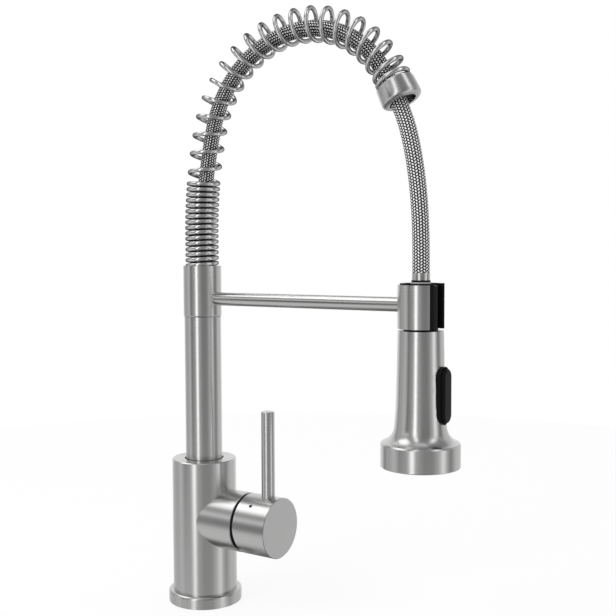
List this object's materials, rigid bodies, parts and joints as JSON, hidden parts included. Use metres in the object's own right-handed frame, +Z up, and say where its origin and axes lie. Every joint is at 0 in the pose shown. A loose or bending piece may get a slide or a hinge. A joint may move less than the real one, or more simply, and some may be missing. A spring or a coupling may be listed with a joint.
{
  "type": "pull-out kitchen faucet",
  "caption": "Kitchen mixer tap with a coiled spring arch over a braided hose, a pull-out spray head docked on a thin side arm, and a side lever.",
  "frame": {"origin": "centre of the valve body's underside, where it stands on the deck", "axes": "+Z up along the riser; +X along the arm towards the spray head, and along the valve stub"},
  "size_m": [0.2411, 0.0562, 0.441],
  "materials": {
    "brushed_steel": "fine lengthwise brushing, satin",
    "spring_wire": "bright drawn steel wire",
    "hose_braid": "woven stainless steel braid",
    "black_plastic": "fine-grained black moulding",
    "grey_plastic": "pale grey moulding",
    "valve_plastic": "grey moulding",
    "ceramic": "polished white ceramic",
    "brass": "machined",
    "rubber": "black seal rubber",
    "nozzle_rubber": "soft dark grey",
    "screw_steel": "plain machined steel"
  },
  "bodies": {
    "base": {"base_ring": "brushed_steel", "base_gasket": "rubber", "valve_body": "brushed_steel", "valve_stub": "brushed_steel", "swivel_bush": "black_plastic", "swivel_screw": "screw_steel", "cartridge_seal": "rubber", "cartridge_housing": "valve_plastic", "fixed_disc": "ceramic", "cartridge_nut": "brass", "dome_cover": "black_plastic"},
    "spout": {"swivel_insert": "brass", "swivel_o_rings": "rubber", "riser_tube": "brushed_steel", "arm_collar": "brushed_steel", "arm_rod": "brushed_steel", "holder_shell": "brushed_steel", "holder_liner": "black_plastic", "holder_screw": "screw_steel", "hose_coupling": "brass", "coupling_washer": "rubber", "hose_in_arch": "hose_braid", "arch_spring": "spring_wire", "spring_end_cap": "brushed_steel"},
    "hose_end": {"hose_free": "hose_braid", "hose_ferrule": "brushed_steel", "hose_washer": "rubber", "hose_nut": "grey_plastic", "hose_clip": "screw_steel"},
    "spray_head": {"head_shell": "brushed_steel", "head_core": "black_plastic", "check_valve": "valve_plastic", "head_seal": "rubber", "button_bezel": "black_plastic", "rocker_pin": "screw_steel", "spray_face": "black_plastic", "nozzle_ring": "nozzle_rubber", "aerator": "valve_plastic"},
    "button": {"button_rocker": "black_plastic"},
    "diverter": {"diverter_spool": "valve_plastic"},
    "valve_turn": {"stem_rotor": "valve_plastic", "stem_pin": "screw_steel"},
    "lever": {"lever_stem": "brass", "lever_hub": "brushed_steel", "lever_rod": "brushed_steel", "hub_screw": "screw_steel"},
    "mixing_disc": {"moving_disc": "ceramic", "disc_carrier": "valve_plastic"}
  },
  "joints": [
    {"name": "spout_swivel", "type": "hinge", "parent": "base", "child": "spout", "pos_m": [0, 0, 0.099], "axis": [0, 0, 1], "continuous": true},
    {"name": "spray_pull", "type": "slide", "parent": "spout", "child": "hose_end", "axis": [0, 0, -1], "range_m": [0, 0.12], "stiffness_N_per_m": 60, "springref_m": -0.1, "deforming": ["hose_free"]},
    {"name": "head_turn", "type": "hinge", "parent": "hose_end", "child": "spray_head", "pos_m": [0.1862, 0, 0.24], "axis": [0, 0, 1], "continuous": true},
    {"name": "spray_button", "type": "hinge", "parent": "spray_head", "child": "button", "pos_m": [0.2012, 0, 0.17475], "axis": [0, 1, 0], "range_deg": [-4.5, 4.5]},
    {"name": "diverter_slide", "type": "slide", "parent": "spray_head", "child": "diverter", "axis": [0, 0, 1], "range_m": [-0.00086, 0.00086]},
    {"name": "temperature_turn", "type": "hinge", "parent": "base", "child": "valve_turn", "pos_m": [0.034, 0, 0.0657], "axis": [1, 0, 0], "range_deg": [-45, 45]},
    {"name": "lever_tilt", "type": "hinge", "parent": "valve_turn", "child": "lever", "pos_m": [0.034, 0, 0.0657], "axis": [0, 1, 0], "range_deg": [0, 11]},
    {"name": "disc_slide", "type": "slide", "parent": "valve_turn", "child": "mixing_disc", "axis": [0, 0, 1], "range_m": [0, 0.0022]}
  ],
  "couplings": [
    {"joint": "spray_button", "follows": "diverter_slide", "rad_per_m": 90.9},
    {"joint": "disc_slide", "follows": "lever_tilt", "m_per_rad": 0.0114}
  ]
}
